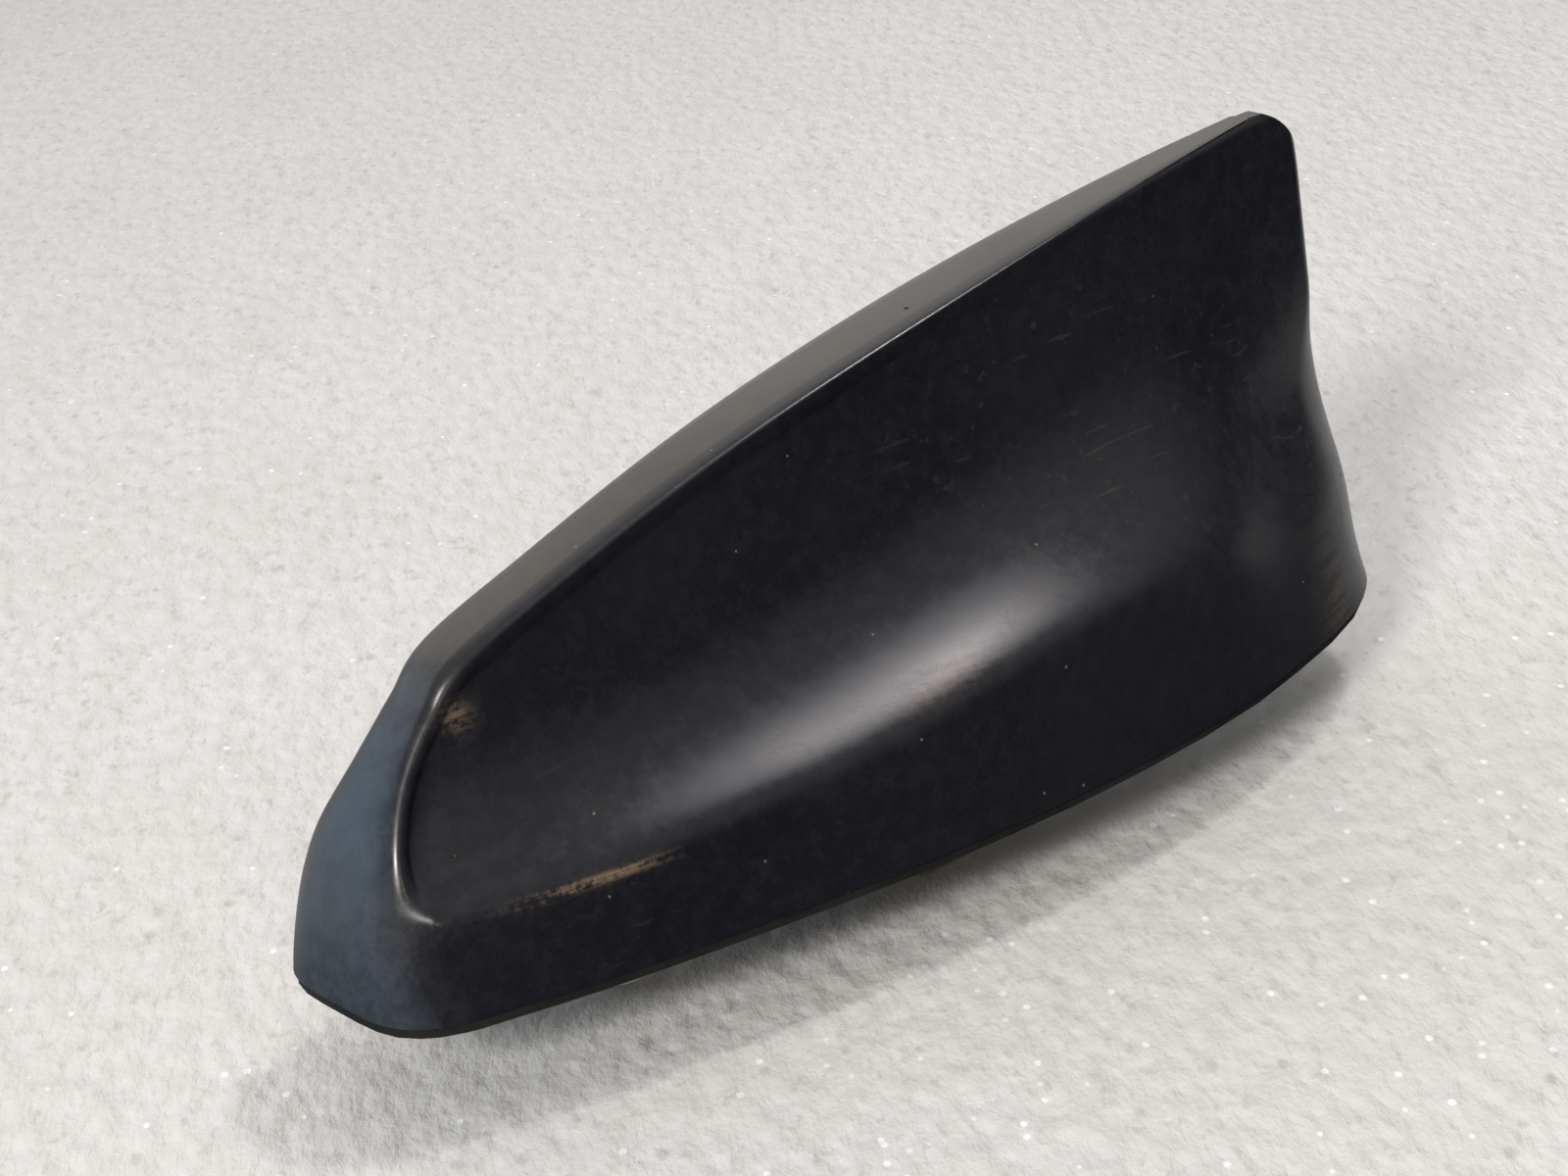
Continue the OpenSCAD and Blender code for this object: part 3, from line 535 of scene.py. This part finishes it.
def floor_material():
    mat, n, shader = start("embossed_floor")
    # the emboss is drawn out along the camera's line, so that it looks as even as in the photo
    along = (0, 0, math.atan2(CAM_BACK.y, CAM_BACK.x))
    where = n.coords((2.0, 1.0, 1.0), along, kind="TEXTURE")
    pebble = n.cells(where, 400, "SMOOTH_F1").outputs["Distance"]
    wrinkle = n.noise(where, 560, 3, 0.6)
    broad = n.noise(where, 30, 2)
    pale = n.mix(n.span(broad, 0.3, 0.7), (0.73, 0.725, 0.705), (0.76, 0.755, 0.74))
    # painted shade of the emboss: darker round the pebbles, in the wrinkles and in the dents
    pale = n.mix(n.span(pebble, 0.25, 0.7, 0.0, 0.5), pale, (0.66, 0.655, 0.63))
    pale = n.mix(n.span(wrinkle, 0.57, 0.72, 0.0, 0.6), pale, (0.54, 0.53, 0.50))
    dented = n.coords((1.7, 1.0, 1.0), along, (0.3, 0.7, 0), "TEXTURE")
    # dents: dark spots of painted shade, with no relief of their own
    dent_shade = n.dots(dented, 240, (0.08, 0.24), 0, (0.66, 0.76))
    pale = n.mix(n.times(dent_shade, 0.35), pale, (0.40, 0.38, 0.34))
    # glints, more of them on the camera's side
    sparks = n.cells(n.coords((1.5, 1.0, 1.0), along, (0.1, 0.4, 0), "TEXTURE"), 420)
    share = n.add("ShaderNodeSeparateColor")
    n.link(sparks.outputs["Color"], share.inputs[0])
    near = n.span(n.parts(n.coords())[1], -0.10, 0.03, 0.62, 0.93)
    spark = n.span(sparks.outputs["Distance"], 0.12, 0.22, 1.0, 0.0)
    spark = n.times(spark, n.math("GREATER_THAN", share.outputs[1], near))
    pale = n.mix(n.times(spark, 0.9), pale, (0.98, 0.98, 0.98))
    n.link(pale, shader.inputs["Base Color"])
    shader.inputs["Roughness"].default_value = 0.6
    shader.inputs["Specular IOR Level"].default_value = 0.3
    height = n.plus(n.times(pebble, 0.8), n.times(wrinkle, 0.8))
    n.link(n.bump(height, 0.8, 0.0008), shader.inputs["Normal"])
    # the cover mirrors a dim floor on the camera's side and a pale one on the far side
    across = n.parts(n.coords(turn=(0, 0, math.radians(-75))))[0]
    mirrored = n.mix(n.span(across, -0.015, 0.06), (0.04, 0.042, 0.05), (0.62, 0.61, 0.60))
    n.swap(n.add("ShaderNodeLightPath").outputs["Is Glossy Ray"], shader, mirrored)
    return mat


def wall_material():
    mat, n, shader = start("pale_wall")
    shade = n.mix(n.noise(n.coords(), 3, 2), (0.70, 0.695, 0.68), (0.74, 0.735, 0.72))
    n.link(shade, shader.inputs["Base Color"])
    shader.inputs["Roughness"].default_value = 0.6
    path = n.add("ShaderNodeLightPath").outputs
    seen = n.plus(path["Is Camera Ray"], path["Is Glossy Ray"])
    seen = n.plus(seen, path["Is Transmission Ray"], clamp=True)
    n.swap(seen, shader, (0.70, 0.69, 0.675))
    return mat


f, z = FLOOR_HALF, FLOOR_Z
sheet("floor", [(-f, -f, z), (f, -f, z), (f, f, z), (-f, f, z)], floor_material())
h, top, pale_wall = WALL_HALF, FLOOR_Z + WALL_HEIGHT, wall_material()
for name, turn in (("wall_behind", 0), ("wall_side", 90)):
    wall = sheet(name, [(-h, 0, z), (h, 0, z), (h, 0, top), (-h, 0, top)], pale_wall)
    turned = Matrix.Rotation(math.radians(turn), 4, "Z")
    wall.matrix_world = turned @ Matrix.Translation((0, WALL_AWAY, 0))

# Surroundings: bright above, brighter behind the fin, bluish past the nose, dark behind the camera
world = bpy.data.worlds.new("studio")
scene.world = world
world.use_nodes = True
w = Nodes(world.node_tree)
back = world.node_tree.nodes["Background"]
tc = w.add("ShaderNodeTexCoord")
_, way_y, way_z = w.parts(tc.outputs["Generated"])


def toward(x, y, z, low, high):
    """1 in the direction x, y, z of the surroundings, fading to 0 round it."""
    dot = w.add("ShaderNodeVectorMath", operation="DOT_PRODUCT")
    w.link(tc.outputs["Generated"], dot.inputs[0])
    dot.inputs[1].default_value = Vector((x, y, z)).normalized()
    return w.span(dot.outputs["Value"], low, high)


high = w.span(way_z, 0.05, 0.9)
behind = w.span(way_y, -0.25, 0.6)
horizon = w.mix(behind, (0.05, 0.052, 0.06), (0.66, 0.70, 0.76))
sky = w.mix(high, horizon, (1.0, 0.985, 0.97))
sky = w.mix(toward(0.30, 0.76, 0.50, 0.78, 0.95), sky, (2.5, 2.4, 2.28))
sky = w.mix(toward(-0.66, 0.75, 0.06, 0.80, 0.96), sky, (2.2, 2.9, 3.7))
w.link(sky, back.inputs["Color"])
back.inputs["Strength"].default_value = 0.46


LIT_POINT = Vector((0.0, 0.0, 0.03))


def softbox(name, way, distance, side, radiance, colour):
    """A square soft light in a direction from the object, of a given radiance."""
    data = bpy.data.lights.new(name, "AREA")
    data.shape = "SQUARE"
    data.size = side
    data.energy = radiance * math.pi * side * side
    data.color = colour
    light = bpy.data.objects.new(name, data)
    way = Vector(way).normalized()
    turned = way.to_track_quat("Z", "Y").to_matrix().to_4x4()
    light.matrix_world = Matrix.Translation(LIT_POINT + way * distance) @ turned
    scene.collection.objects.link(light)


softbox("top_rear", (0.395, -0.02, 0.918), 0.9, 0.11, 46.0, (1.0, 0.92, 0.92))
softbox("top_rear_fill", (0.36, -0.12, 0.925), 0.9, 0.28, 2.2, (0.96, 0.94, 1.0))
softbox("front_key", (-0.780, -0.414, 0.469), 1.8, 0.34, 68.0, (1.0, 0.97, 0.93))
softbox("front_warm", (-0.476, -0.824, 0.309), 0.9, 0.12, 9.0, (1.0, 0.80, 0.55))
